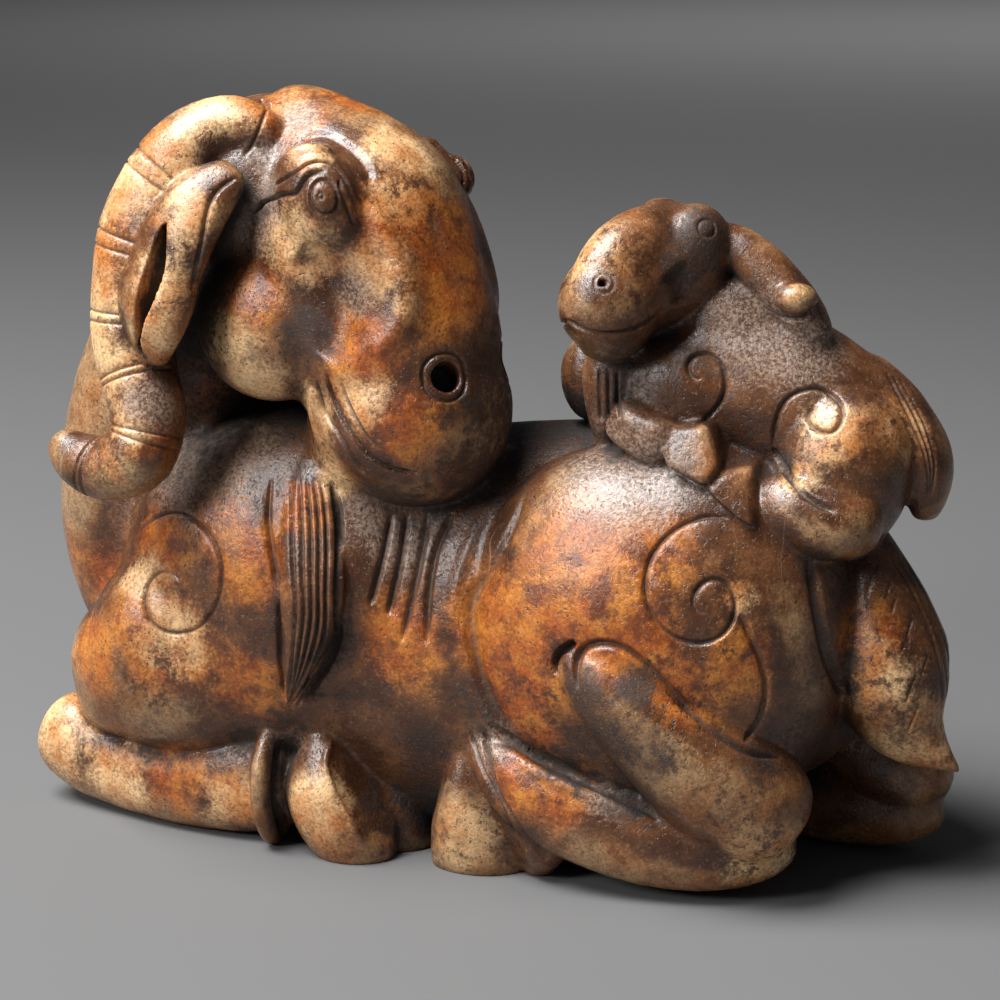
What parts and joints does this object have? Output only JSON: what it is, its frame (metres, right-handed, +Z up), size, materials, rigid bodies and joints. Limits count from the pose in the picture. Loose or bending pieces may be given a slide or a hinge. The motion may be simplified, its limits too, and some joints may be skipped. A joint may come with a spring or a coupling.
{
  "type": "stone ram carving",
  "caption": "Carved stone figure of a lying ram with curled horns, its head turned back towards a kid that rests on its rump.",
  "frame": {"origin": "middle of the footprint, on the surface that the carving rests on", "axes": "+Z up, +X from the ram's breast to its tail, -Y to the flank over which its head leans"},
  "size_m": [0.19, 0.0836, 0.1505],
  "materials": {
    "stone": "polished, waxy, stained honey to dark brown"
  },
  "bodies": {
    "root": {"ram_and_kid": "stone"}
  },
  "joints": []
}
